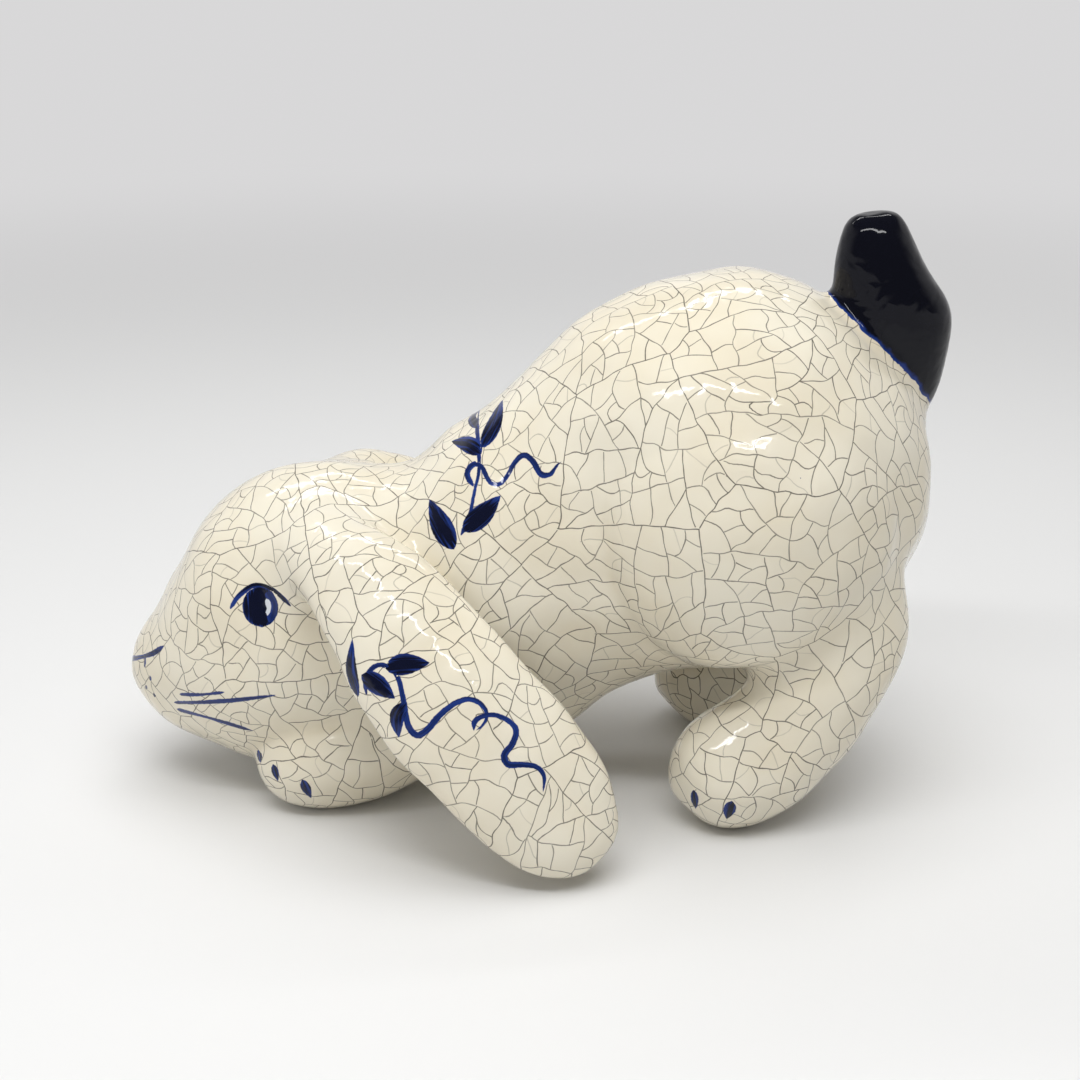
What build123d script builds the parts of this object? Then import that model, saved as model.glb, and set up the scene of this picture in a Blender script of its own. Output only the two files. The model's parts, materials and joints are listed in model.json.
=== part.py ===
from build123d import *

import os
from collections import namedtuple
from math import cos, radians, sin

# A crouching rabbit figurine: head down between its lop ears, rump and tail up. It is slip-cast earthenware,
# made as separate castings that are luted together with slip. Millimetres, +Z up, standing on Z = 0, nose
# towards -X, its left side towards -Y. The right-hand pieces mirror the left-hand ones about the XZ plane.

# Casting sizes
casting_wall = 5.0  # wall of the two hollow castings, the body and the head
vent_diameter = 9.0  # drain and vent hole in the belly

# Main lengths, which set all places along the rabbit
neck_x = -33.5  # the seam between head and body
body_length = 78.0  # from the neck seam to the widest part of the haunches
rump_length = 43.0  # the round rump behind that
head_length = 52.5  # from the neck seam to the snout
nose_length = 3.8  # the round nose in front of that
haunch_x = neck_x + body_length
snout_x = neck_x - head_length

# A station is one cross-section of the body or head: the place of its middle, how far its plane leans from
# the vertical, and its reach up, down and to each side.
Station = namedtuple("Station", "x z lean rise drop half_width")

# Body, from the neck seam back to the widest part of the haunches
neck = Station(x=neck_x, z=39.0, lean=0.0, rise=33.0, drop=33.0, half_width=27.0)
shoulder = Station(x=neck_x + 0.231 * body_length, z=43.0, lean=6.0, rise=36.0, drop=35.0, half_width=30.0)
ribs = Station(x=neck_x + 0.462 * body_length, z=52.0, lean=12.0, rise=38.0, drop=38.5, half_width=31.0)
waist = Station(x=neck_x + 0.718 * body_length, z=62.0, lean=18.0, rise=43.5, drop=36.5, half_width=35.0)
haunch = Station(x=haunch_x, z=71.0, lean=24.0, rise=45.5, drop=43.5, half_width=43.0)

# Where a round end is cut into sections, in degrees from its axis
large_end_angles = (66, 42, 20)
small_end_angles = (45,)

# Head, from the neck seam forward to the snout
skull = Station(x=neck_x - 0.267 * head_length, z=38.0, lean=0.0, rise=35.5, drop=34.5, half_width=28.5)
cheek = Station(x=neck_x - 0.495 * head_length, z=36.5, lean=4.0, rise=32.5, drop=32.5, half_width=28.0)
bridge = Station(x=neck_x - 0.705 * head_length, z=33.5, lean=6.0, rise=25.0, drop=27.0, half_width=24.0)
muzzle = Station(x=neck_x - 0.876 * head_length, z=29.0, lean=6.0, rise=15.5, drop=18.5, half_width=17.5)
snout = Station(x=snout_x, z=26.5, lean=6.0, rise=8.5, drop=10.5, half_width=10.5)

# A ring is one cross-section of a limb: the place of its middle, its width and its depth.
Ring = namedtuple("Ring", "x y z width depth")

# Left ear, from inside the top of the head out, back and down towards the ground
ear_root = Ring(x=neck_x - 20.0, y=-8.0, z=59.5, width=21.0, depth=16.0)
ear_bend = Ring(x=neck_x - 12.0, y=-19.0, z=61.5, width=22.0, depth=15.0)
ear_fold = Ring(x=neck_x - 2.5, y=-29.5, z=58.5, width=24.0, depth=15.0)
ear_upper = Ring(x=neck_x + 6.0, y=-37.5, z=51.0, width=29.0, depth=15.0)
ear_middle = Ring(x=neck_x + 16.0, y=-45.5, z=40.0, width=32.0, depth=15.0)
ear_lower = Ring(x=neck_x + 26.5, y=-49.5, z=29.5, width=32.0, depth=15.0)
ear_end = Ring(x=neck_x + 37.0, y=-52.0, z=17.7, width=29.0, depth=14.0)
ear_tip = 16.0
ear_width_direction = (-0.78, -0.40, -0.46)

# Left thigh, a round swelling of the body itself, from inside the haunch out to its side. Its edge makes
# a fold over the belly.
thigh_root = Ring(x=haunch_x + 0.5, y=-8.0, z=68.0, width=62.0, depth=62.0)
thigh_wide = Ring(x=haunch_x + 0.5, y=-21.0, z=68.0, width=66.0, depth=66.0)
thigh_tip = 24.5

# Left forepaw, from inside the chest forward to the toes
paw_root = Ring(x=neck_x + 23.5, y=-12.0, z=31.0, width=22.0, depth=22.0)
paw_wrist = Ring(x=neck_x + 11.5, y=-13.5, z=20.5, width=23.0, depth=23.0)
paw_back = Ring(x=neck_x - 0.5, y=-15.5, z=13.5, width=24.0, depth=24.0)
paw_front = Ring(x=neck_x - 14.0, y=-17.0, z=11.0, width=25.0, depth=24.0)
paw_tip = 12.5

# Left hind foot, from inside the haunch down over the hock and forward to the toes
shank_top = Ring(x=haunch_x + 16.0, y=-18.0, z=58.0, width=28.0, depth=38.0)
shank = Ring(x=haunch_x + 20.5, y=-20.0, z=46.0, width=29.0, depth=33.0)
hock = Ring(x=haunch_x + 20.0, y=-22.0, z=36.0, width=28.0, depth=29.0)
heel = Ring(x=haunch_x + 15.0, y=-24.0, z=26.5, width=26.0, depth=27.0)
foot_back = Ring(x=haunch_x + 7.0, y=-25.0, z=17.0, width=26.0, depth=27.0)
foot_front = Ring(x=haunch_x - 2.0, y=-26.0, z=11.5, width=27.0, depth=26.0)
foot_tip = 11.0

# Tail, from inside the rump up to its tip
tail_root = Ring(x=haunch_x + 24.5, y=0.0, z=85.0, width=15.0, depth=34.0)
tail_base = Ring(x=haunch_x + 30.0, y=0.0, z=98.0, width=18.0, depth=28.5)
tail_middle = Ring(x=haunch_x + 31.7, y=0.0, z=107.5, width=20.0, depth=26.6)
tail_top = Ring(x=haunch_x + 29.7, y=0.0, z=116.0, width=18.0, depth=19.5)
tail_tip = 12.5

across = (0, 1, 0)  # width direction of the pieces that point straight along the rabbit
lengthwise = (1, 0, 0)  # width direction of the thighs, which point out to its sides


def station_plane(station):
    """The plane of a station, with its sketch X across the rabbit and its sketch Y up."""
    lean = radians(station.lean)
    return Plane(origin=(station.x, 0, station.z), x_dir=across, z_dir=(cos(lean), 0, sin(lean)))


def station_section(station, inset=0.0):
    """An egg-shaped profile on the station's plane: two half ellipses that meet at its sides."""
    half_width = station.half_width - inset
    with BuildSketch(station_plane(station), mode=Mode.PRIVATE) as section:
        with BuildLine():
            EllipticalCenterArc((0, 0), half_width, station.rise - inset, start_angle=0, arc_size=180)
            EllipticalCenterArc((0, 0), half_width, station.drop - inset, start_angle=180, arc_size=180)
        make_face()
    return section.sketch


def closing_point(station, reach):
    """The point on a station's axis, the given reach beyond it, where a casting closes."""
    place = station_plane(station).origin + station_plane(station).z_dir * reach
    return Vertex(place.X, place.Y, place.Z)


def rump_section(angle, inset=0.0):
    """One section of the round end behind the haunches, at an angle from the rump's axis."""
    along = (rump_length - inset) * cos(radians(angle))
    shrink = sin(radians(angle))
    middle = closing_point(haunch, along)
    return station_section(
        Station(
            x=middle.X,
            z=middle.Z,
            lean=haunch.lean,
            rise=(haunch.rise - inset) * shrink,
            drop=(haunch.drop - inset) * shrink,
            half_width=(haunch.half_width - inset) * shrink,
        )
    )


def trunk_sections(front_end, head_stations, inset=0.0):
    """The sections of head and body together, from the point where the head closes to the end of the rump."""
    stations = (*head_stations, neck, shoulder, ribs, waist, haunch)
    sections = [station_section(station, inset) for station in stations]
    rump = [rump_section(angle, inset) for angle in large_end_angles]
    return [front_end, *sections, *rump, closing_point(haunch, rump_length - inset)]


def ring_section(ring, run, width_direction):
    """An ellipse round a limb, square to the way the limb runs."""
    plane = Plane(origin=(ring.x, ring.y, ring.z), x_dir=width_direction, z_dir=run)
    with BuildSketch(plane, mode=Mode.PRIVATE) as section:
        Ellipse(ring.width / 2, ring.depth / 2)
    return section.sketch


def limb_sections(rings, tip_length, width_direction, end_angles=small_end_angles):
    """The sections of a limb along its rings, and of the round tip beyond the last one."""
    places = [Vector(ring.x, ring.y, ring.z) for ring in rings]
    steps = [(after - before).normalized() for before, after in zip(places, places[1:])]
    runs = [steps[0], *(before + after for before, after in zip(steps, steps[1:])), steps[-1]]
    sections = [ring_section(ring, run, width_direction) for ring, run in zip(rings, runs)]
    last = rings[-1]
    for angle in end_angles:
        middle = places[-1] + steps[-1] * (tip_length * cos(radians(angle)))
        shrink = sin(radians(angle))
        tip_ring = Ring(middle.X, middle.Y, middle.Z, last.width * shrink, last.depth * shrink)
        sections.append(ring_section(tip_ring, steps[-1], width_direction))
    end = places[-1] + steps[-1] * tip_length
    return [*sections, Vertex(end.X, end.Y, end.Z)]


# The outside of head and body in one flowing form with the thighs on it, which the other castings seat on
with BuildPart() as left_thigh:
    loft(limb_sections((thigh_root, thigh_wide), thigh_tip, lengthwise, large_end_angles))

with BuildPart() as outside:
    loft(trunk_sections(closing_point(snout, -nose_length), (snout, muzzle, bridge, cheek, skull)))
    add(left_thigh.part)
    mirror(left_thigh.part, about=Plane.XZ)

# The cavity inside it, one wall in from the outside and ending one wall short of the nose
with BuildPart() as cavity:
    cavity_reach = muzzle.x - snout.x + nose_length - casting_wall
    nose_end = closing_point(muzzle, -cavity_reach)
    loft(trunk_sections(nose_end, (muzzle, bridge, cheek, skull), inset=casting_wall))

with BuildPart() as hollow_trunk:
    add(outside.part)
    add(cavity.part, mode=Mode.SUBTRACT)

# Body: a hollow casting, open at the neck seam, with a vent hole through the belly
with BuildPart() as body:
    add(hollow_trunk.part)
    split(bisect_by=station_plane(neck), keep=Keep.TOP)
    with BuildSketch(Plane.XY):
        with Locations((waist.x, 0)):
            Circle(vent_diameter / 2)
    extrude(amount=waist.z, mode=Mode.SUBTRACT)

# Head: a hollow casting, open at the neck seam
with BuildPart() as head:
    add(hollow_trunk.part)
    split(bisect_by=station_plane(neck), keep=Keep.BOTTOM)

# Ears: solid castings, cut to seat on the head and to lie against the shoulder
with BuildPart() as left_ear:
    ear_rings = (ear_root, ear_bend, ear_fold, ear_upper, ear_middle, ear_lower, ear_end)
    loft(limb_sections(ear_rings, ear_tip, ear_width_direction))
    add(outside.part, mode=Mode.SUBTRACT)
    split(bisect_by=Plane.XY, keep=Keep.TOP)

with BuildPart() as right_ear:
    mirror(left_ear.part, about=Plane.XZ)

# Forepaws: solid castings, cut to seat under the chest and chin, flat underneath
with BuildPart() as left_forepaw:
    loft(limb_sections((paw_root, paw_wrist, paw_back, paw_front), paw_tip, across))
    add(outside.part, mode=Mode.SUBTRACT)
    split(bisect_by=Plane.XY, keep=Keep.TOP)

with BuildPart() as right_forepaw:
    mirror(left_forepaw.part, about=Plane.XZ)

# Hind feet: solid castings, cut to seat under the haunches, flat underneath
with BuildPart() as left_hind_foot:
    loft(limb_sections((shank_top, shank, hock, heel, foot_back, foot_front), foot_tip, across))
    add(outside.part, mode=Mode.SUBTRACT)
    split(bisect_by=Plane.XY, keep=Keep.TOP)

with BuildPart() as right_hind_foot:
    mirror(left_hind_foot.part, about=Plane.XZ)

# Tail: a solid casting, cut to seat on the rump
with BuildPart() as tail:
    loft(limb_sections((tail_root, tail_base, tail_middle, tail_top), tail_tip, across))
    add(outside.part, mode=Mode.SUBTRACT)

os.makedirs("parts", exist_ok=True)
body.part.label = "body"
export_step(body.part, "parts/body.step")
head.part.label = "head"
export_step(head.part, "parts/head.step")
left_ear.part.label = "left_ear"
export_step(left_ear.part, "parts/left_ear.step")
right_ear.part.label = "right_ear"
export_step(right_ear.part, "parts/right_ear.step")
left_forepaw.part.label = "left_forepaw"
export_step(left_forepaw.part, "parts/left_forepaw.step")
right_forepaw.part.label = "right_forepaw"
export_step(right_forepaw.part, "parts/right_forepaw.step")
left_hind_foot.part.label = "left_hind_foot"
export_step(left_hind_foot.part, "parts/left_hind_foot.step")
right_hind_foot.part.label = "right_hind_foot"
export_step(right_hind_foot.part, "parts/right_hind_foot.step")
tail.part.label = "tail"
export_step(tail.part, "parts/tail.step")
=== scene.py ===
import json
from collections import namedtuple
from math import cos, pi, radians, sin

import bmesh
import bpy
import numpy as np
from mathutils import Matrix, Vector
from mathutils.bvhtree import BVHTree
from mathutils.kdtree import KDTree


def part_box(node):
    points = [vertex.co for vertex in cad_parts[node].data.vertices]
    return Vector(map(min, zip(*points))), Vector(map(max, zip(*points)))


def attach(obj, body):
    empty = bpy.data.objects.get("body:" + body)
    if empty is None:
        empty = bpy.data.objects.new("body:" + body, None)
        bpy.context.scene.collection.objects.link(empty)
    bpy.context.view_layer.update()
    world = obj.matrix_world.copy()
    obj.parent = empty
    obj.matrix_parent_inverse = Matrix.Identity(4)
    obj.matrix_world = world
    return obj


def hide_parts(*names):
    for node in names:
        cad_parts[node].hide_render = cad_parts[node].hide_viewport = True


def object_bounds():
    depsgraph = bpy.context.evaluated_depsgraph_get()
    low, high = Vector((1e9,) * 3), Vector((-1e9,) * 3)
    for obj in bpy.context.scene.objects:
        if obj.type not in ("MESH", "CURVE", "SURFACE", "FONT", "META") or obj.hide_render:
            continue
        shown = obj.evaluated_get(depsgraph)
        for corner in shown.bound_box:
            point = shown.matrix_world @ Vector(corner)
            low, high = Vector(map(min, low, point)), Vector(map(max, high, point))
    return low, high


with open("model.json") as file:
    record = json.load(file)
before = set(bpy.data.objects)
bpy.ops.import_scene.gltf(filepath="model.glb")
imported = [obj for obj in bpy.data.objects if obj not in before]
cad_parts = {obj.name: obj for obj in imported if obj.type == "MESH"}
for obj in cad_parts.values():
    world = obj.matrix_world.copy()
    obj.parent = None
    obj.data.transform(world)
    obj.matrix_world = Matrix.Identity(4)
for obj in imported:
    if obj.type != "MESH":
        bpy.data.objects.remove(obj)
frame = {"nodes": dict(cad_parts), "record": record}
cad_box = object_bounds()

# A crackle-glazed rabbit figurine. The castings of the frame are melted into one glazed skin, so that
# the slip and the glaze fill the joints between them. The skin is shaped, crackled and painted as a whole,
# and then parted again into one piece for each casting. Shapes are worked out in millimetres and written
# in metres.

MM = 0.001
NODES = sorted(frame["nodes"])
SLOTS = {part["node"]: part["material_slot"] for part in frame["record"]["subparts"]}
random = np.random.default_rng(20)

# The camera of the photograph, which also sets the sheet that the painted strokes are drawn on
VIEW_TARGET = (2.5, 0.0, 55.5)
VIEW_DISTANCE = 420.0
VIEW_ELEVATION = radians(20)
VIEW_LENS = 63.0
VIEW_SENSOR = 36.0

# Skin
VOXEL = 0.8
VENT_X = 22.5
VENT_RADIUS = 4.5
VENT_CUT = (3.5, 14.0)  # between these heights above its mouth, the vent is cut off from the cavity
FAR = 16.0  # distances from castings are measured up to this
HALF_WAY = 0.5
BLEND_ROUNDS = 160
STEP_SMOOTHING = (0.5, -0.52) * 4  # in and out again by turns: takes off the voxels' steps, keeps the size
CREASE_SPAN = 12  # rounds of smoothing that show up a crease
CREASE_DEPTHS = (0.05, 0.35)
CREASE_ROUNDS = 25
LAST_SHARE = 0.4
LAST_ROUNDS = 2
HOLLOW_SPAN = 30  # rounds of smoothing that show up a hollow, which is painted in shade
SEAM_ROUNDS = 10
CAP_RECESS = 1.5  # how deep the caps of a piece lie under the skin, inside its joints

# Luted joints: how far and how strongly the glaze rounds off each of them
Joint = namedtuple("Joint", "one other reach share")
JOINTS = (
    Joint("body", "head", 10.0, 0.30),
    Joint("head", "ear", 15.0, 0.50),
    Joint("head", "forepaw", 6.0, 0.035),
    Joint("body", "forepaw", 7.0, 0.15),
    Joint("body", "hind_foot", 10.0, 0.25),
    Joint("body", "tail", 5.0, 0.08),
)
JOINT_CORE = 0.2  # share of a joint's reach that is rounded off in full

# Noise: plane waves of random length and direction, added up
Wave = namedtuple("Wave", "height lengths count")
LUMPS = Wave(0.16, (11.0, 24.0), 40)
SWAY = Wave(1.2, (22.0, 45.0), 8)
TREMOR = Wave(0.17, (3.5, 7.0), 16)


def new_object(name, mesh):
    made = bpy.data.objects.new(name, mesh)
    bpy.context.scene.collection.objects.link(made)
    return made


def smooth_step(value, low, high):
    share = np.clip((value - low) / (high - low), 0.0, 1.0)
    return share * share * (3.0 - 2.0 * share)


def waves(points, wave):
    """Smooth noise at each point, about as high as the wave says."""
    ways = random.normal(size=(wave.count, 3))
    lengths = random.uniform(*wave.lengths, size=wave.count)
    ways *= (2 * pi / lengths / np.linalg.norm(ways, axis=1))[:, None]
    starts = random.uniform(0, 2 * pi, wave.count)
    return wave.height * (np.sin(points @ ways.T + starts).sum(axis=1) / np.sqrt(wave.count / 2))


# Melting the castings into one skin

def melted_mesh():
    """A mesh of even quads round all the castings."""
    joined = bmesh.new()
    for node in frame["nodes"].values():
        joined.from_mesh(node.data)
    mesh = bpy.data.meshes.new("castings")
    joined.to_mesh(mesh)
    joined.free()
    castings = new_object("castings", mesh)
    remesh = castings.modifiers.new("remesh", "REMESH")
    remesh.mode = "VOXEL"
    remesh.voxel_size = VOXEL * MM
    graph = bpy.context.evaluated_depsgraph_get()
    melted = bpy.data.meshes.new_from_object(castings.evaluated_get(graph))
    bpy.data.objects.remove(castings)
    return melted


def mesh_arrays(mesh):
    """The points of a mesh of quads in millimetres, and the four corners of each quad."""
    points = np.empty(len(mesh.vertices) * 3)
    mesh.vertices.foreach_get("co", points)
    corners = np.empty(len(mesh.loops), dtype=int)
    mesh.loops.foreach_get("vertex_index", corners)
    return points.reshape(-1, 3) / MM, corners.reshape(-1, 4)


def quad_edges(quads):
    pairs = np.concatenate([quads[:, [k, (k + 1) % 4]] for k in range(4)])
    return np.unique(np.sort(pairs, axis=1), axis=0)


def only_used(points, quads):
    """The numbers of the points that quads use, and the quads with those points numbered afresh."""
    kept = np.unique(quads)
    renumbered = np.full(len(points), -1)
    renumbered[kept] = np.arange(len(kept))
    return kept, renumbered[quads]


def outer_skin(points, quads):
    """The skin without the walls of the cavity: the vent is kept as a short blind hole."""
    middles = points[quads].mean(axis=1)
    by_vent = np.hypot(middles[:, 0] - VENT_X, middles[:, 1]) < VENT_RADIUS + VOXEL
    mouth = middles[by_vent, 2].min()
    low, high = (mouth + height for height in VENT_CUT)
    in_vent = by_vent & (middles[:, 2] > low) & (middles[:, 2] < high)
    quads = quads[~in_vent]
    edges = quad_edges(quads)
    outside = np.zeros(len(points), dtype=bool)
    outside[np.argmax(points[:, 2])] = True
    growing = True
    while growing:
        border = outside[edges[:, 0]] != outside[edges[:, 1]]
        outside[edges[border].ravel()] = True
        growing = border.any()
    kept, quads = only_used(points, quads[outside[quads].all(axis=1)])
    return points[kept], quads


def relaxed(values, edges, share, rounds):
    """Moves the values at each point by a share of the way to its neighbours' mean, a number of times."""
    shares = np.broadcast_to(share, len(values))[:, None]
    counts = np.bincount(edges.ravel(), minlength=len(values))
    first, second = edges.T
    for _ in range(rounds):
        means = np.empty_like(values)
        for column in range(values.shape[1]):
            means[:, column] = np.bincount(first, values[second, column], len(values))
            means[:, column] += np.bincount(second, values[first, column], len(values))
        values = values + shares * (means / counts[:, None] - values)
    return values


def point_normals(points, quads):
    a, b, c, d = (points[quads[:, k]] for k in range(4))
    faces = np.cross(c - a, d - b)
    normals = np.empty_like(points)
    for axis in range(3):
        normals[:, axis] = np.bincount(quads.ravel(), np.repeat(faces[:, axis], 4), len(points))
    return normals / np.linalg.norm(normals, axis=1)[:, None]


def hollows(points, edges, quads, rounds):
    """How deep each point lies under the smoothed skin round it, in hollows."""
    broad = relaxed(points, edges, HALF_WAY, rounds)
    return ((broad - points) * point_normals(points, quads)).sum(axis=1)


def casting_distances(points):
    """How far each point is from each casting."""
    graph = bpy.context.evaluated_depsgraph_get()
    distances = np.full((len(points), len(NODES)), FAR)
    for column, name in enumerate(NODES):
        tree = BVHTree.FromObject(frame["nodes"][name], graph)
        low, high = (np.array(corner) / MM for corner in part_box(name))
        near = ((points > low - FAR) & (points < high + FAR)).all(axis=1)
        for index in np.flatnonzero(near):
            distance = tree.find_nearest(Vector(points[index] * MM), FAR * MM)[3]
            if distance is not None:
                distances[index, column] = distance / MM
    return distances


def columns_of(kind):
    return [column for column, name in enumerate(NODES) if name.endswith(kind)]


def joint_shares(distances):
    """How strongly each point is smoothed: the most on a joint, fading to nothing at the joint's reach."""
    shares = np.zeros(len(distances))
    for joint in JOINTS:
        for first in columns_of(joint.one):
            for second in columns_of(joint.other):
                gap = np.maximum(distances[:, first], distances[:, second])
                fade = 1.0 - smooth_step(gap, JOINT_CORE * joint.reach, joint.reach)
                shares = np.maximum(shares, joint.share * fade)
    return shares


# Shaping: each push moves the skin along its own normal, on both sides of the rabbit alike
Push = namedtuple("Push", "name path reach amount")
PUSHES = (
    Push("cheek", ((-62, -27, 27),), 8.0, 1.0),
    Push("hollow in front of the eye", ((-68, -23, 42),), 6.0, -0.8),
    Push("valley in front of the ear", ((-46, -30, 46), (-42, -31, 36)), 5.0, -1.4),
    Push("ridge along the ear", ((-38, -32, 66), (-24, -43, 56), (-12, -51, 44), (0, -55, 30)), 5.0, 0.8),
    Push("hollow along the ear", ((-38, -44, 46), (-27, -51, 37), (-16, -56, 27)), 6.0, -0.8),
    Push("flank behind the shoulder", ((2, -34, 60), (8, -34, 46)), 8.0, -0.8),
    Push("root of the tail", ((85, 0, 89),), 6.0, 2.2),
    Push("back of the rump", ((88, 0, 70),), 9.0, -1.2),
)
PUSH_SAMPLES = 12


def resampled(path, count):
    """Points spread evenly along a path of straight runs."""
    if len(path) == 1:
        return path
    along = np.concatenate([[0.0], np.cumsum(np.linalg.norm(np.diff(path, axis=0), axis=1))])
    wanted = np.linspace(0.0, along[-1], count)
    return np.stack([np.interp(wanted, along, path[:, axis]) for axis in range(path.shape[1])], axis=1)


def pushed(points, normals):
    sided = points.copy()
    sided[:, 1] = -np.abs(points[:, 1])
    moves = np.zeros(len(points))
    for push in PUSHES:
        path = resampled(np.array(push.path, dtype=float), PUSH_SAMPLES)
        gaps = np.linalg.norm(sided[:, None, :] - path[None, :, :], axis=2).min(axis=1)
        moves += push.amount * np.exp(-((gaps / push.reach) ** 2))
    return points + normals * moves[:, None]


def shaped(points, quads, edges, distances):
    """The skin's points with the joints filled and the glaze's own relief, inside the castings' box."""
    points = relaxed(points, edges, joint_shares(distances), BLEND_ROUNDS)
    for share in STEP_SMOOTHING:
        points = relaxed(points, edges, share, 1)
    creases = smooth_step(hollows(points, edges, quads, CREASE_SPAN), *CREASE_DEPTHS)
    points = relaxed(points, edges, HALF_WAY * creases, CREASE_ROUNDS)
    points = pushed(points, point_normals(points, quads))
    points += point_normals(points, quads) * waves(points, LUMPS)[:, None]
    points = relaxed(points, edges, LAST_SHARE, LAST_ROUNDS)
    points[:, 2] = np.maximum(points[:, 2], 0.0)
    highest = np.array(cad_box[1]) / MM
    return points * np.minimum(highest / points.max(axis=0), 1.0)


# Crackle: curved cracks split the glaze into ever smaller cells, each crack ending on an older one
CRACK_SPACING = 26.0  # distance between the seeds of the first, widest cells
SEED_CANDIDATES = 9000
CRACK_TRIES = 6  # cracks tried for each split, of which the one that leaves the roundest halves is kept
CRACK_TURN = 0.4  # spread of the turn, in radians
CRACK_OFFSET = 0.18  # how far off the middle of a cell a crack may run, as a share of the cell's length
CRACK_BEND = 1.2  # spread of the bend, for a cell 1 mm wide
CRACK_STRENGTHS = (0.75, 1.0)
CELL_AREAS = (17.0, 48.0)  # a cell of this area or less, in square millimetres, splits no further
CELL_QUADS = 4  # a split leaves at least this many quads on each side
HAIR_AREA = 15.0  # a cell above this may still get a faint hair crack
HAIR_CHANCE = 0.3
HAIR_STRENGTHS = (0.2, 0.45)
CRACKS_KEPT = 3  # cracks stored on each quad
CRACK_FAR = 3.0
Crack = namedtuple("Crack", "way along middle bend strength")


def quad_slopes(corners):
    """For each quad, what turns corner values into the squared slope of a value along the skin."""
    one, two = corners[:, 1] - corners[:, 0], corners[:, 3] - corners[:, 0]
    aa, bb, ab = (one * one).sum(1), (two * two).sum(1), (one * two).sum(1)
    spread = np.maximum(aa * bb - ab * ab, 1e-9)
    return bb / spread, -ab / spread, aa / spread


def as_distances(values, slopes):
    """Values at the corners of quads, of shape (quads, 4, functions), as distances from where they are 0."""
    one, two = values[:, 1] - values[:, 0], values[:, 3] - values[:, 0]
    aa, ab, bb = (slope[:, None] for slope in slopes)
    slope = np.sqrt(np.maximum(aa * one * one + 2 * ab * one * two + bb * two * two, 1e-6))
    distances = values / slope[:, None, :]
    return distances * np.where(distances.mean(axis=1) < 0, -1.0, 1.0)[:, None, :]


def scattered(points, spacing):
    """A random choice of points that are no nearer to each other than the spacing."""
    chosen = np.empty((0, 3))
    for point in points[random.permutation(len(points))[:SEED_CANDIDATES]]:
        if not len(chosen) or np.linalg.norm(chosen - point, axis=1).min() > spacing:
            chosen = np.append(chosen, [point], axis=0)
    return chosen


def nearest_seeds(middles, seeds):
    """For each place, its own seed and then the other seeds nearest to it."""
    tree = KDTree(len(seeds))
    for index, seed in enumerate(seeds):
        tree.insert(seed, index)
    tree.balance()
    return np.array([[found[1] for found in tree.find_n(place, CRACKS_KEPT + 1)] for place in middles])


def first_cracks(bent, seeds, nearest, slopes):
    """The distances of each quad's corners from the cracks half-way between its seed and the next ones."""
    own, others = seeds[nearest[:, :1]], seeds[nearest[:, 1:]]
    between = (others - own) / np.maximum(np.linalg.norm(others - own, axis=2), 1e-6)[:, :, None]
    half_way = np.einsum("qsx,qsx->qs", between, (others + own) / 2)
    return as_distances(half_way[:, None, :] - np.einsum("qcx,qsx->qcs", bent, between), slopes)


def crack_across(middles, normals, strengths):
    """A crack across the longer direction of a cell, a little off its middle, turned and bent at random."""
    middle = middles.mean(axis=0)
    normal = normals.mean(axis=0)
    normal /= np.linalg.norm(normal) + 1e-9
    longest = np.linalg.eigh(np.cov((middles - middle).T))[1][:, 2]
    longest -= normal * (longest @ normal)
    longest /= np.linalg.norm(longest) + 1e-9
    turn = random.normal(0.0, CRACK_TURN)
    way = longest * cos(turn) + np.cross(normal, longest) * sin(turn)
    along = np.cross(normal, way)
    length = np.ptp((middles - middle) @ way)
    width = np.ptp((middles - middle) @ along) + 1e-6
    middle = middle + way * length * random.uniform(-CRACK_OFFSET, CRACK_OFFSET)
    bend = random.normal(0.0, CRACK_BEND) / width
    return Crack(way, along, middle, bend, random.uniform(*strengths))


def crack_values(crack, points):
    off = points - crack.middle
    return off @ crack.way + 0.5 * crack.bend * (off @ crack.along) ** 2


def raggedness(members, areas, middles):
    """How far a cell is from round: its spread about its own middle, for its area."""
    off = middles[members] - middles[members].mean(axis=0)
    return (off * off).sum() / len(members) / areas[members].sum()


def cell_split(members, areas, middles, normals):
    """The crack that splits a cell and the two halves, or nothing where the cell stays whole."""
    area = areas[members].sum()
    is_hair = area <= random.uniform(*CELL_AREAS)
    if is_hair and (area < HAIR_AREA or random.random() > HAIR_CHANCE):
        return None
    strengths = HAIR_STRENGTHS if is_hair else CRACK_STRENGTHS
    splits = []
    for _ in range(CRACK_TRIES):
        crack = crack_across(middles[members], normals[members], strengths)
        side = crack_values(crack, middles[members]) > 0
        if CELL_QUADS <= side.sum() <= len(members) - CELL_QUADS:
            splits.append((crack, (members[side], members[~side]), is_hair))

    def both_halves(split):
        return sum(raggedness(half, areas, middles) for half in split[1])

    return min(splits, key=both_halves, default=None)


def nearest_cracks(first, history, bent, slopes):
    """The cracks nearest to each quad of a cell, oldest first: distances at its corners, and strengths."""
    values = [crack_values(crack, bent) for crack in history]
    later = np.stack(values, axis=2) if values else np.empty((len(bent), 4, 0))
    every = np.concatenate([first, as_distances(later, slopes)], axis=2)
    strengths = np.array([1.0] * CRACKS_KEPT + [crack.strength for crack in history])
    order = np.sort(np.argsort(every.mean(axis=1), axis=1)[:, :CRACKS_KEPT], axis=1)
    return np.take_along_axis(every, order[:, None, :], axis=2), strengths[order]


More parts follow.
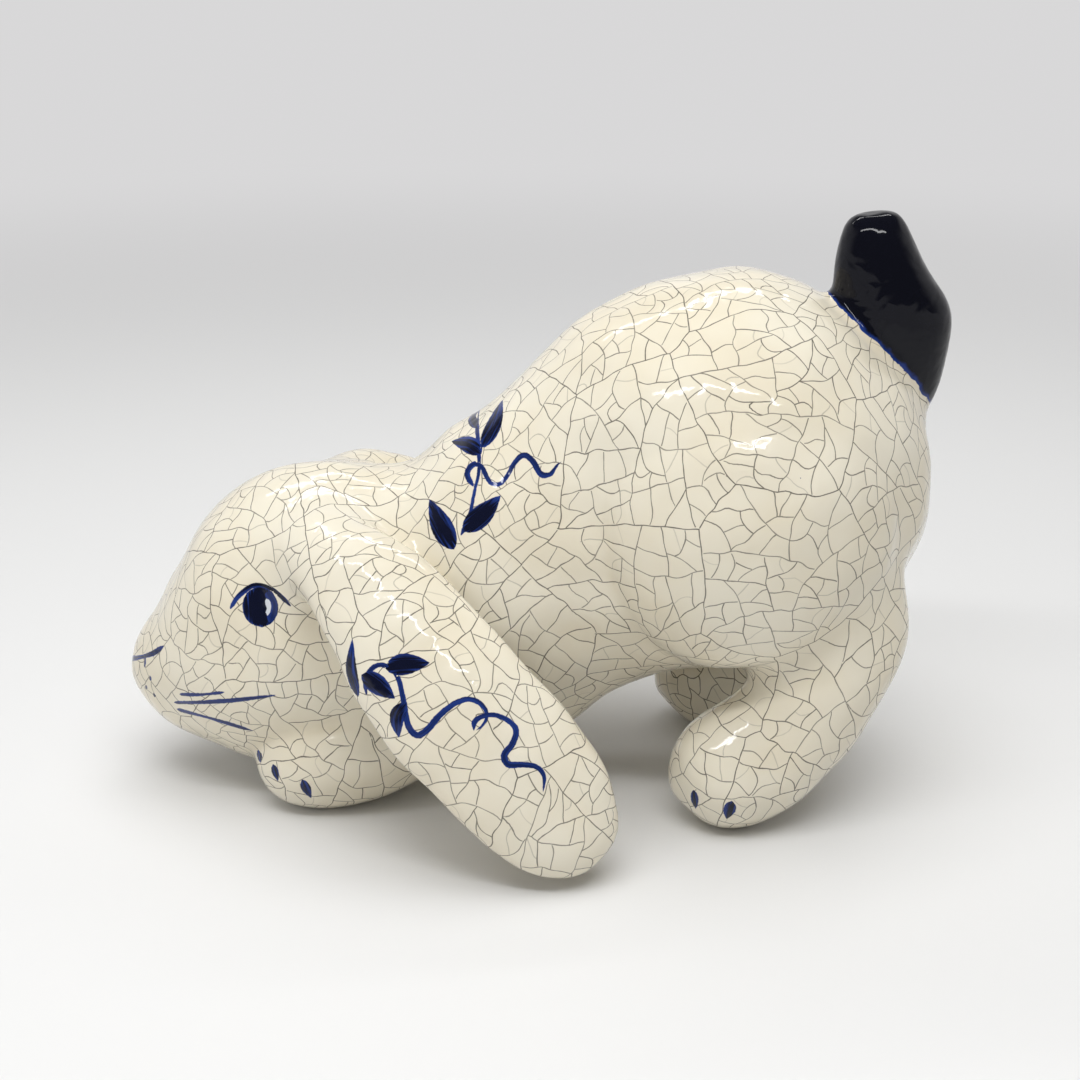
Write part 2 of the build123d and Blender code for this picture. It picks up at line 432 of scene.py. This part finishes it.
def crackle(points, quads, normals):
    """The nearest cracks of each quad as signed distances at its corners, and their strengths."""
    drift = [waves(points, SWAY) + waves(points, TREMOR) for _ in range(3)]
    corners = points[quads]
    bent = (points + np.stack(drift, axis=1))[quads]
    middles, quad_normals = bent.mean(axis=1), normals[quads].mean(axis=1)
    diagonals = corners[:, 2] - corners[:, 0], corners[:, 3] - corners[:, 1]
    areas = 0.5 * np.linalg.norm(np.cross(*diagonals), axis=1)
    slopes = quad_slopes(corners)
    seeds = scattered(middles, CRACK_SPACING)
    nearest = nearest_seeds(middles, seeds)
    first = first_cracks(bent, seeds, nearest, slopes)
    kept = np.full((len(quads), 4, CRACKS_KEPT), CRACK_FAR)
    strengths = np.zeros((len(quads), CRACKS_KEPT))
    cells = [(np.flatnonzero(nearest[:, 0] == index), (), False) for index in range(len(seeds))]
    while cells:
        members, history, is_done = cells.pop()
        split = None if is_done else cell_split(members, areas, middles, quad_normals)
        if split:
            crack, halves, is_hair = split
            cells += [(half, (*history, crack), is_hair) for half in halves]
            continue
        own_slopes = [slope[members] for slope in slopes]
        found = nearest_cracks(first[members], history, bent[members], own_slopes)
        kept[members], strengths[members] = found
    return np.clip(kept, -CRACK_FAR, CRACK_FAR), strengths


# Painted strokes, drawn on a sheet that faces the camera: X along the rabbit, and height on the sheet
Stroke = namedtuple("Stroke", "node layer form half_width tone path")
LINE, LEAF, DOT = "line", "leaf", "dot"
BLUE, DARK, WHITE = 0.0, 1.0, 2.0
LAYERS = ("paint_under", "paint_over", "paint_top")
STROKES = (
    # Eye
    Stroke("head", 0, DOT, 3.9, DARK, ((-56.7, 42.4), (-56.0, 33.8))),
    Stroke("head", 1, LINE, 0.95, BLUE, ((-54.8, 41.4), (-53.3, 38.4), (-54.5, 34.8))),
    Stroke("head", 2, LINE, 0.6, WHITE, ((-55.0, 39.8), (-54.5, 38.0), (-54.9, 36.2))),
    Stroke("head", 1, LINE, 0.6, DARK, (
        (-63.0, 37.5), (-60.8, 40.6), (-57.2, 42.7), (-53.2, 41.5), (-49.7, 38.2))),
    # Nose
    Stroke("head", 0, LINE, 0.65, DARK, (
        (-90.6, 25.4), (-88.2, 25.7), (-85.2, 26.4), (-82.2, 27.4), (-79.3, 29.2))),
    Stroke("head", 1, LINE, 0.35, DARK, ((-84.6, 26.6), (-84.9, 23.9))),
    # Roots of the whiskers, and whiskers
    Stroke("head", 0, DOT, 0.45, DARK, ((-83.5, 22.3), (-83.4, 21.0))),
    Stroke("head", 0, DOT, 0.45, DARK, ((-85.1, 20.0), (-85.0, 18.9))),
    Stroke("head", 0, DOT, 0.45, DARK, ((-83.0, 18.4), (-82.9, 17.2))),
    Stroke("head", 0, LINE, 0.45, BLUE, ((-76.0, 18.6), (-70.5, 18.9), (-64.7, 19.7))),
    Stroke("head", 0, LINE, 0.55, BLUE, ((-77.9, 16.5), (-65.1, 17.7), (-53.4, 19.2))),
    Stroke("head", 0, LINE, 0.50, BLUE, ((-77.5, 15.0), (-68.1, 13.3), (-59.4, 10.8))),
    # Claws
    Stroke("forepaw", 0, LEAF, 0.8, DARK, ((-59.2, 6.2), (-58.6, 3.4))),
    Stroke("forepaw", 0, LEAF, 0.9, DARK, ((-55.4, 3.6), (-54.3, -0.2))),
    Stroke("forepaw", 0, LEAF, 1.1, DARK, ((-48.8, 0.5), (-47.2, -4.0))),
    Stroke("hind_foot", 0, LEAF, 0.8, DARK, ((35.1, -0.9), (35.8, -5.4))),
    Stroke("hind_foot", 0, LEAF, 1.4, DARK, ((42.9, -2.9), (42.2, -7.2))),
    # Sprig on the ear
    Stroke("ear", 0, LEAF, 1.25, DARK, ((-34.0, 20.6), (-35.4, 26.2), (-35.2, 32.4))),
    Stroke("ear", 0, LEAF, 2.2, DARK, ((-28.3, 26.6), (-24.6, 27.4), (-19.4, 27.7))),
    Stroke("ear", 1, LEAF, 2.1, DARK, ((-33.2, 25.2), (-30.3, 23.6), (-26.3, 20.6))),
    Stroke("ear", 1, LEAF, 1.6, DARK, ((-24.0, 19.8), (-25.9, 17.0), (-25.6, 12.8))),
    Stroke("ear", 0, LINE, 0.7, BLUE, (
        (-32.2, 21.0), (-32.3, 24.5), (-30.4, 27.0), (-28.0, 27.0), (-25.8, 24.9), (-24.6, 20.3),
        (-23.7, 15.4), (-21.9, 13.4), (-19.9, 14.5), (-17.3, 17.5), (-14.3, 19.8), (-11.4, 20.6),
        (-9.0, 19.4), (-8.0, 17.3), (-9.2, 15.1), (-10.6, 14.3))),
    Stroke("ear", 1, LINE, 0.7, BLUE, (
        (-10.6, 14.3), (-10.3, 16.4), (-7.4, 17.5), (-4.4, 16.6), (-2.3, 14.5), (-3.0, 11.6),
        (-4.6, 9.5), (-3.8, 7.6), (-1.1, 7.5), (1.7, 7.0), (3.3, 5.0), (3.1, 1.7))),
    # Sprig on the back
    Stroke("body", 0, LEAF, 2.4, DARK, ((-15.4, 50.2), (-18.0, 54.9), (-20.9, 60.8))),
    Stroke("body", 1, LEAF, 2.3, DARK, ((-13.6, 54.0), (-9.9, 57.0), (-5.6, 61.4))),
    Stroke("body", 0, LINE, 0.5, BLUE, (
        (-14.0, 53.0), (-12.2, 57.0), (-11.1, 62.6), (-10.3, 66.5), (-10.4, 71.0), (-10.9, 76.0),
        (-10.8, 80.0))),
    Stroke("body", 1, LEAF, 1.9, DARK, ((-9.8, 70.2), (-12.6, 72.4), (-16.6, 73.4))),
    Stroke("body", 1, LEAF, 1.7, DARK, ((-9.9, 71.4), (-7.4, 76.2), (-5.5, 82.3))),
    Stroke("body", 1, LEAF, 1.1, DARK, ((-10.9, 76.0), (-12.2, 78.4), (-12.0, 80.8))),
    Stroke("body", 0, LINE, 0.65, BLUE, (
        (-11.3, 63.2), (-12.8, 66.0), (-11.4, 68.1), (-9.6, 67.2), (-7.9, 64.2), (-5.8, 63.8),
        (-4.1, 65.8), (-2.7, 68.3), (-0.8, 69.8), (1.1, 68.3), (2.7, 65.7), (4.6, 65.7),
        (6.0, 67.5), (7.0, 68.3))),
    # Pinholes in the glaze
    Stroke("body", 0, DOT, 0.25, DARK, ((53.8, 64.7), (53.8, 64.2))),
    Stroke("ear", 0, DOT, 0.25, DARK, ((-10.8, 23.9), (-10.8, 23.4))),
)
STROKE_STEP = 0.25
STROKE_MARGIN = 1.6
STROKE_WINDOW = 2.5  # a corner keeps to the stretch of a stroke that is this near to its quad's place on it
STROKE_REACH = -0.1  # strokes run on a little way round the edge of what the camera sees
NO_PAINT = -1.0  # a half width at which nothing is painted
LEAF_BELLY = 0.75  # below 1, the widest place of a leaf moves towards its start
LEAF_FULLNESS = 0.85
LINE_SWELL = 0.14
LINE_SWELL_WAVES = 9.0  # radians of swelling along a whole line
LINE_SWELL_START = 40.0  # lines of different widths swell in different places
LINE_ENTRY = 0.05  # shares of a line over which the brush comes down and lifts off
LINE_EXIT = 0.14
LINE_TAPER = 0.6
Brush = namedtuple("Brush", "line runs lengths widths")


def flowing(path):
    """A smooth curve through the points of a stroke, as points about one step apart."""
    path = np.array(path, dtype=float)
    ends = [2 * path[0] - path[1], *path, 2 * path[-1] - path[-2]]
    spans = []
    for a, b, c, d in zip(ends, ends[1:], ends[2:], ends[3:]):
        count = max(2, int(np.linalg.norm(c - b) / STROKE_STEP))
        t = np.linspace(0.0, 1.0, count, endpoint=False)[:, None]
        square, cube = 2 * a - 5 * b + 4 * c - d, 3 * b - a - 3 * c + d
        spans.append(0.5 * (2 * b + (c - a) * t + square * t**2 + cube * t**3))
    return np.concatenate([*spans, [path[-1]]])


def brush_widths(stroke, shares):
    """Half the width of a stroke along its length, from 0 at one end of it to 1 at the other."""
    if stroke.form == LEAF:
        return stroke.half_width * np.sin(pi * shares**LEAF_BELLY) ** LEAF_FULLNESS
    if stroke.form == DOT:
        return stroke.half_width * np.sqrt(np.maximum(1.0 - (2.0 * shares - 1.0) ** 2, 0.0))
    start = stroke.half_width * LINE_SWELL_START
    swell = 1.0 - LINE_SWELL + LINE_SWELL * np.sin(LINE_SWELL_WAVES * shares + start)
    taper = np.minimum(np.minimum(shares / LINE_ENTRY, (1.0 - shares) / LINE_EXIT), 1.0)
    return stroke.half_width * swell * taper**LINE_TAPER


def brushed(stroke):
    """Points along a stroke, each with the stroke's direction, its length so far and half its width."""
    line = flowing(stroke.path)
    runs = np.gradient(line, axis=0)
    runs /= np.linalg.norm(runs, axis=1)[:, None]
    lengths = np.concatenate([[0.0], np.cumsum(np.linalg.norm(np.diff(line, axis=0), axis=1))])
    return Brush(line, runs, lengths, brush_widths(stroke, lengths / lengths[-1]))


def corner_paint(brush, corners, closest):
    """How far each corner is off a stroke's line, and half the stroke's width there, less past its ends."""
    spread = np.linalg.norm(corners[:, :, None, :] - brush.line, axis=3)
    steps = np.abs(np.arange(len(brush.line)) - closest[:, None])
    elsewhere = steps * STROKE_STEP > STROKE_WINDOW
    spread[np.broadcast_to(elsewhere[:, None, :], spread.shape)] = np.inf
    at = spread.argmin(axis=2)
    off = corners - brush.line[at]
    run = brush.runs[at]
    along = (off * run).sum(axis=2)
    before = np.where(at == 0, np.minimum(along, 0.0), 0.0)
    after = np.where(at == len(brush.line) - 1, np.maximum(along, 0.0), 0.0)
    offset = run[..., 0] * off[..., 1] - run[..., 1] * off[..., 0]
    half_width = np.interp(brush.lengths[at] + along, brush.lengths, brush.widths)
    return offset, half_width - np.abs(before + after)


def painted(points, quads, normals, quad_nodes):
    """For each layer of paint, on each corner: offset from the nearest stroke, its half width and tone."""
    heights = points[:, 2] * cos(VIEW_ELEVATION) - np.abs(points[:, 1]) * sin(VIEW_ELEVATION)
    corners = np.stack([points[:, 0], heights], axis=1)[quads]
    middles = corners.mean(axis=1)
    sides = np.sign(points[quads][:, :, 1].mean(axis=1))
    facing = normals[quads].mean(axis=1)
    towards_view = facing[:, 1] * sides * cos(VIEW_ELEVATION) + facing[:, 2] * sin(VIEW_ELEVATION)
    layers = np.zeros((len(LAYERS), len(quads), 4, 3))
    layers[..., 1] = NO_PAINT
    nearest = np.full((len(LAYERS), len(quads)), STROKE_MARGIN)
    for stroke in STROKES:
        brush = brushed(stroke)
        room = stroke.half_width + STROKE_MARGIN
        low, high = brush.line.min(axis=0) - room, brush.line.max(axis=0) + room
        inside = ((middles > low) & (middles < high)).all(axis=1)
        on_node = np.isin(quad_nodes, columns_of(stroke.node))
        chosen = np.flatnonzero(on_node & inside & (towards_view > STROKE_REACH))
        gaps = np.linalg.norm(middles[chosen, None, :] - brush.line, axis=2)
        closest = gaps.argmin(axis=1)
        edge = gaps.min(axis=1) - brush.widths[closest]
        better = edge < nearest[stroke.layer, chosen]
        chosen, closest = chosen[better], closest[better]
        nearest[stroke.layer, chosen] = edge[better]
        offset, half_width = corner_paint(brush, corners[chosen], closest)
        layers[stroke.layer, chosen, :, 0] = offset
        layers[stroke.layer, chosen, :, 1] = half_width
        layers[stroke.layer, chosen, :, 2] = stroke.tone
    return layers


# Parting the skin into pieces

def glazed_skin():
    """The whole skin: points, quads, normals, and what the glaze needs on them."""
    points, quads = outer_skin(*mesh_arrays(melted_mesh()))
    edges = quad_edges(quads)
    distances = casting_distances(points)
    points = shaped(points, quads, edges, distances)
    normals = point_normals(points, quads)
    seam_distances = relaxed(distances, edges, HALF_WAY, SEAM_ROUNDS)
    quad_nodes = seam_distances[quads].sum(axis=1).argmin(axis=1)
    to_body, to_tail = distances[:, NODES.index("body")], distances[:, NODES.index("tail")]
    cracks, strengths = crackle(points, quads, normals)
    return {
        "points": points,
        "quads": quads,
        "normals": normals,
        "nodes": quad_nodes,
        "cracks": cracks,
        "strengths": strengths,
        "paint": painted(points, quads, normals, quad_nodes),
        "dark": np.where(to_tail < FAR, to_body - to_tail, -FAR),
        # depth of the hollows, which the glaze paints in shade
        "hollow": hollows(points, edges, quads, HOLLOW_SPAN),
    }


def add_caps(mesh, normals):
    """Closes the open edges of a piece: turns them in under the skin and fills what is left."""
    closing = bmesh.new()
    closing.from_mesh(mesh)
    source = closing.verts.layers.int.new("source")
    for point in closing.verts:
        point[source] = point.index
    rim = [edge for edge in closing.edges if edge.is_boundary]
    turned = bmesh.ops.extrude_edge_only(closing, edges=rim)["geom"]
    for point in (part for part in turned if isinstance(part, bmesh.types.BMVert)):
        point.co -= Vector(normals[point[source]] * CAP_RECESS * MM)
    bmesh.ops.holes_fill(closing, edges=[edge for edge in closing.edges if edge.is_boundary], sides=0)
    bmesh.ops.triangulate(closing, faces=[face for face in closing.faces if len(face.verts) > 4])
    closing.verts.layers.int.remove(source)
    closing.to_mesh(mesh)
    closing.free()


def set_points(mesh, name, values):
    """Stores a number on every point of a piece: those of the skin's points, and 0 on the caps' points."""
    every = np.pad(values, (0, len(mesh.vertices) - len(values)))
    attribute = mesh.attributes.new(name, "FLOAT", "POINT")
    attribute.data.foreach_set("value", every.astype(np.float32))


def corner_values(mesh, values, spare):
    """Rows of three for every corner of a piece: those of the skin's quads, and spare ones on the caps."""
    every = np.full((len(mesh.loops), 3), spare)
    flat = values.reshape(-1, 3)
    every[: len(flat)] = flat
    return every


def set_corners(mesh, name, values, spare):
    attribute = mesh.attributes.new(name, "FLOAT_VECTOR", "CORNER")
    attribute.data.foreach_set("vector", corner_values(mesh, values, spare).astype(np.float32).ravel())


def skin_piece(name, skin, chosen):
    """The part of the skin that covers one casting, closed by caps inside the joints."""
    quads = skin["quads"][chosen]
    kept, own_quads = only_used(skin["points"], quads)
    mesh = bpy.data.meshes.new("glazed_" + name)
    mesh.from_pydata(skin["points"][kept] * MM, [], own_quads.tolist())
    add_caps(mesh, skin["normals"][kept])
    mesh.polygons.foreach_set("use_smooth", np.ones(len(mesh.polygons), dtype=bool))
    mesh.update()
    set_corners(mesh, "crack", skin["cracks"][chosen], CRACK_FAR)
    set_corners(mesh, "crack_strength", np.repeat(skin["strengths"][chosen], 4, axis=0), 0.0)
    for layer, values in zip(LAYERS, skin["paint"]):
        set_corners(mesh, layer, values[chosen], NO_PAINT)
    set_points(mesh, "dark_edge", skin["dark"][kept])
    set_points(mesh, "hollow", skin["hollow"][kept])
    mesh.normals_split_custom_set(corner_values(mesh, skin["normals"][quads], 0.0).tolist())
    return new_object("glazed_" + name, mesh)


# Materials

class Graph:
    """Adds nodes to the tree of a material or the world and links them, with numbers or sockets as inputs."""

    def __init__(self, owner):
        owner.use_nodes = True
        self.owner = owner
        self.nodes = owner.node_tree.nodes
        self.links = owner.node_tree.links

    def node(self, kind, inputs=(), **settings):
        made = self.nodes.new(kind)
        for key, value in settings.items():
            setattr(made, key, value)
        for socket, value in dict(inputs).items():
            self.put(made.inputs[socket], value)
        return made

    def put(self, socket, value):
        if isinstance(value, bpy.types.NodeSocket):
            self.links.new(value, socket)
        else:
            socket.default_value = value

    def math(self, operation, *values):
        return self.node("ShaderNodeMath", enumerate(values), operation=operation).outputs[0]

    def ramp(self, value, low, high, start=0.0, end=1.0):
        inputs = {"Value": value, "From Min": low, "From Max": high, "To Min": start, "To Max": end}
        return self.node("ShaderNodeMapRange", inputs, interpolation_type="SMOOTHSTEP").outputs["Result"]

    def mix(self, share, one, other):
        made = self.node("ShaderNodeMix", data_type="RGBA")
        self.put(made.inputs["Factor"], share)
        self.put(made.inputs[6], one)
        self.put(made.inputs[7], other)
        return made.outputs[2]

    def vector_parts(self, name):
        attribute = self.node("ShaderNodeAttribute", attribute_name=name)
        return self.node("ShaderNodeSeparateXYZ", {"Vector": attribute.outputs["Vector"]}).outputs

    def number(self, name):
        return self.node("ShaderNodeAttribute", attribute_name=name).outputs["Fac"]

    def place(self):
        return self.node("ShaderNodeTexCoord").outputs["Object"]

    def noise(self, length, detail=2.0):
        """Smooth noise from 0 to 1 whose features are about this long in millimetres."""
        inputs = {"Vector": self.place(), "Scale": 1.0 / (length * MM), "Detail": detail}
        return self.node("ShaderNodeTexNoise", inputs).outputs["Fac"]


# Colours of the glaze and the paint
IVORY = (0.745, 0.680, 0.535, 1.0)
# painted shade: the darker, warmer ivory of the glaze in shade, laid into hollows
SHADED_IVORY = (0.640, 0.565, 0.415, 1.0)
PALE_IVORY = (0.785, 0.735, 0.610, 1.0)
CRACK_STAIN = (0.055, 0.046, 0.035, 1.0)
COBALT = (0.014, 0.036, 0.190, 1.0)
NAVY = (0.0030, 0.0045, 0.018, 1.0)
GLINT = (0.62, 0.64, 0.68, 1.0)
TAIL_BLACK = (0.0035, 0.0038, 0.0075, 1.0)

# Lengths on the glaze and the paint, in millimetres
CLOUD_LENGTH = 26.0
CRACK_HALF_WIDTH = 0.115
CRACK_EDGES = (0.45, 1.35)  # shares of the half width between which a crack fades out
CRACK_WANDER = 2.5
PILLOW_WIDTH = 1.6  # the glaze sinks towards each crack over this width
RIPPLE_LENGTH = 3.2
RELIEF_HEIGHT = 0.12
BRUSH_EDGE_LENGTH = 0.8
BRUSH_EDGE = 0.09  # how far the edge of a stroke strays
BRISTLE_WIDTH = 0.45  # streaks of the brush run along the strokes
BRISTLE_LENGTH = 7.0
DRIP_LENGTH = 3.0
DRIP = 0.9  # how far the edge of the dark glaze strays
DARK_RIM = (0.2, 1.6)  # the dark glaze is blue at its edge and black further in
GLOSS_LENGTH = 9.0

# Strengths
# how strongly the hollows are painted in shade
HOLLOW_SHADE_STRENGTH = 0.75
STAIN_DENSITY = 0.88
BLUE_LOAD = 0.6  # how dense a blue stroke gets, next to a dark one
RIPPLE = 0.8
RELIEF = 0.35
ROUGHNESS = (0.05, 0.09)
GLAZE_GLOSS = {"crackle_glaze": 0.4, "dark_glaze": 0.22}


def crack_lines(graph):
    """How strongly cracks show at a point, each stopping where an older one crosses it, and the nearest."""
    distances = graph.vector_parts("crack")
    strengths = graph.vector_parts("crack_strength")
    wander = graph.ramp(graph.noise(CRACK_WANDER), 0.2, 0.8, 0.75, 1.35)
    thin, wide = (graph.math("MULTIPLY", wander, CRACK_HALF_WIDTH * share) for share in CRACK_EDGES)
    open_here, shown, nearest = None, None, CRACK_FAR
    for distance, strength in zip(distances, strengths):
        line = graph.ramp(graph.math("ABSOLUTE", distance), thin, wide, 1.0, 0.0)
        line = graph.math("MULTIPLY", line, strength)
        line = line if open_here is None else graph.math("MULTIPLY", line, open_here)
        shown = line if shown is None else graph.math("MAXIMUM", shown, line)
        nearest = graph.math("MINIMUM", nearest, graph.math("ABSOLUTE", distance))
        inside = graph.math("GREATER_THAN", distance, 0.0)
        open_here = inside if open_here is None else graph.math("MULTIPLY", inside, open_here)
    return shown, nearest


def bristle_streaks(graph, offset):
    """Noise that is drawn out along a stroke."""
    inputs = {0: graph.place(), "Scale": 1.0 / (BRISTLE_LENGTH * MM)}
    along = graph.node("ShaderNodeVectorMath", inputs, operation="SCALE")
    sideways = graph.node("ShaderNodeCombineXYZ", {"X": graph.math("DIVIDE", offset, BRISTLE_WIDTH)})
    inputs = {0: along.outputs[0], 1: sideways.outputs[0]}
    grain = graph.node("ShaderNodeVectorMath", inputs, operation="ADD")
    inputs = {"Vector": grain.outputs[0], "Scale": 1.0, "Detail": 2.0}
    return graph.node("ShaderNodeTexNoise", inputs).outputs["Fac"]


def brush_paint(graph, under, layer):
    """One layer of brush strokes over a colour: dark where the brush was full, blue where it ran thin."""
    offset, half_width, tone = graph.vector_parts(layer)
    across = graph.math("ABSOLUTE", offset)
    rough_edge = graph.ramp(graph.noise(BRUSH_EDGE_LENGTH), 0.0, 1.0, -BRUSH_EDGE, BRUSH_EDGE)
    depth = graph.math("ADD", graph.math("SUBTRACT", half_width, across), rough_edge)
    cover = graph.ramp(depth, -0.05, 0.10)
    streaks = graph.math("MULTIPLY_ADD", bristle_streaks(graph, offset), 2.8, -1.15)
    load = graph.math("ADD", graph.math("MULTIPLY", depth, 0.5), streaks)
    most = graph.ramp(tone, BLUE, DARK, BLUE_LOAD, 1.0)
    dense = graph.math("MULTIPLY", graph.ramp(load, 0.0, 0.8), most)
    colour = graph.mix(dense, COBALT, NAVY)
    is_white = graph.math("GREATER_THAN", tone, (DARK + WHITE) / 2)
    colour = graph.mix(is_white, colour, GLINT)
    return graph.mix(cover, under, colour)


def glaze_material(slot):
    """Crackled ivory glaze with painted shade in its hollows and its painted strokes, which runs into dark
    glaze at the tail.
    """
    graph = Graph(bpy.data.materials.new(slot))
    surface = graph.nodes["Principled BSDF"].inputs
    # painted shade: hollows darken towards the shaded ivory
    shaded_hollows = graph.ramp(graph.number("hollow"), 0.02, 0.55)
    clouds = graph.ramp(graph.noise(CLOUD_LENGTH, 3.0), 0.32, 0.68)
    colour = graph.mix(clouds, IVORY, PALE_IVORY)
    colour = graph.mix(graph.math("MULTIPLY", shaded_hollows, HOLLOW_SHADE_STRENGTH), colour, SHADED_IVORY)
    cracks, nearest = crack_lines(graph)
    colour = graph.mix(graph.math("MULTIPLY", cracks, STAIN_DENSITY), colour, CRACK_STAIN)
    for layer in LAYERS:
        colour = brush_paint(graph, colour, layer)
    drip = graph.ramp(graph.noise(DRIP_LENGTH), 0.0, 1.0, -DRIP, DRIP)
    dark_depth = graph.math("ADD", graph.number("dark_edge"), drip)
    dark = graph.mix(graph.ramp(dark_depth, *DARK_RIM), COBALT, TAIL_BLACK)
    colour = graph.mix(graph.ramp(dark_depth, -0.12, 0.12), colour, dark)
    graph.put(surface["Base Color"], colour)
    graph.put(surface["Roughness"], graph.ramp(graph.noise(GLOSS_LENGTH), 0.25, 0.75, *ROUGHNESS))
    graph.put(surface["Specular IOR Level"], GLAZE_GLOSS[slot])
    pillow = graph.ramp(nearest, 0.0, PILLOW_WIDTH)
    ripple = graph.math("MULTIPLY_ADD", graph.noise(RIPPLE_LENGTH, 1.0), RIPPLE, pillow)
    inputs = {"Strength": RELIEF, "Distance": RELIEF_HEIGHT * MM, "Height": ripple}
    bump = graph.node("ShaderNodeBump", inputs)
    graph.put(surface["Normal"], bump.outputs["Normal"])
    return graph.owner


# Stage, with sizes in metres
FLOOR_HALF = 30.0
FLOOR_PALE = (0.76, 0.76, 0.755, 1.0)
FLOOR_ROUGHNESS = 0.6
FLOOR_GLOSS = 0.2
FLOOR_FADE = (0.25, 0.9)  # distances over which the floor runs out into the background
PALE_WALL = (0.69, 0.685, 0.69, 1.0)
DARK_ROOM = (0.10, 0.10, 0.10, 1.0)
HORIZON = (0.04, 0.12)  # heights over which the pale of the horizon ends, as the sine of the elevation
WALL_TOP = (0.35, 0.65)
WALL_FRONT = (-0.35, 0.15)  # the walls end over this, measured towards the back

# Lamps: place in millimetres, size in metres, power in watts, and whether the glaze shows their glint
Lamp = namedtuple("Lamp", "name place size power glints")
LAMPS = (
    Lamp("overhead", (100, -150, 1500), (1.4, 1.4), 17.8, False),
    Lamp("front_fill", (-500, -650, 350), (0.8, 0.8), 1.5, False),
    Lamp("front_strip", (-60, -260, 460), (0.6, 0.03), 1.0, True),
    Lamp("back_strip", (-40, 290, 470), (0.6, 0.03), 0.45, True),
)


def floor():
    """A pale table that runs out into an even, pale background."""
    mesh = bpy.data.meshes.new("floor")
    signs = ((-1, -1), (1, -1), (1, 1), (-1, 1))
    mesh.from_pydata([(x * FLOOR_HALF, y * FLOOR_HALF, 0) for x, y in signs], [], [(0, 1, 2, 3)])
    graph = Graph(bpy.data.materials.new("floor"))
    table = graph.nodes["Principled BSDF"]
    graph.put(table.inputs["Base Color"], FLOOR_PALE)
    graph.put(table.inputs["Roughness"], FLOOR_ROUGHNESS)
    graph.put(table.inputs["Specular IOR Level"], FLOOR_GLOSS)
    distance = graph.node("ShaderNodeVectorMath", {0: graph.place()}, operation="LENGTH").outputs["Value"]
    rays = graph.node("ShaderNodeLightPath").outputs
    mirrored = graph.math("MAXIMUM", rays["Is Glossy Ray"], rays["Is Transmission Ray"])
    seen = graph.math("MAXIMUM", rays["Is Camera Ray"], mirrored)
    far = graph.math("MULTIPLY", graph.ramp(distance, *FLOOR_FADE), seen)
    glow = graph.node("ShaderNodeEmission", {"Color": PALE_WALL, "Strength": 1.0})
    both = graph.node("ShaderNodeMixShader", {"Fac": far, 1: table.outputs["BSDF"], 2: glow.outputs[0]})
    graph.put(graph.nodes["Material Output"].inputs["Surface"], both.outputs["Shader"])
    mesh.materials.append(graph.owner)
    new_object("floor", mesh)


def light_box():
    """Pale walls low down all round and higher up at the back and sides, in a dark room."""
    graph = Graph(bpy.data.worlds.new("light_box"))
    place = graph.node("ShaderNodeTexCoord").outputs["Generated"]
    way = graph.node("ShaderNodeSeparateXYZ", {"Vector": place}).outputs
    horizon = graph.ramp(way["Z"], *HORIZON, 1.0, 0.0)
    below_top = graph.ramp(way["Z"], *WALL_TOP, 1.0, 0.0)
    walls = graph.math("MULTIPLY", below_top, graph.ramp(way["Y"], *WALL_FRONT))
    colour = graph.mix(graph.math("MAXIMUM", horizon, walls), DARK_ROOM, PALE_WALL)
    graph.put(graph.nodes["Background"].inputs["Color"], colour)
    bpy.context.scene.world = graph.owner
    bpy.context.scene.view_settings.view_transform = "Standard"


def lamps():
    """Wide soft lamps that leave no glint on the glaze and long thin ones that do, aimed at the rabbit."""
    for lamp in LAMPS:
        light = bpy.data.lights.new(lamp.name, "AREA")
        light.shape = "RECTANGLE"
        light.size, light.size_y = lamp.size
        light.energy = lamp.power
        made = new_object(lamp.name, light)
        made.location = Vector(lamp.place) * MM
        aim = Vector(VIEW_TARGET) - Vector(lamp.place)
        made.rotation_euler = aim.to_track_quat("-Z", "Y").to_euler()
        made.visible_glossy = lamp.glints
        made.visible_camera = False


def camera():
    lens = bpy.data.cameras.new("camera")
    lens.lens = VIEW_LENS
    lens.sensor_width = VIEW_SENSOR
    made = new_object("camera", lens)
    back = Vector((0.0, -cos(VIEW_ELEVATION), sin(VIEW_ELEVATION)))
    made.location = (Vector(VIEW_TARGET) + back * VIEW_DISTANCE) * MM
    made.rotation_euler = (-back).to_track_quat("-Z", "Y").to_euler()
    bpy.context.scene.camera = made


skin = glazed_skin()
glazes = {slot: glaze_material(slot) for slot in GLAZE_GLOSS}
for index, node in enumerate(NODES):
    piece = skin_piece(node, skin, np.flatnonzero(skin["nodes"] == index))
    piece.data.materials.append(glazes[SLOTS[node]])
    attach(piece, "root")
    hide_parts(node)
floor()
light_box()
lamps()
camera()
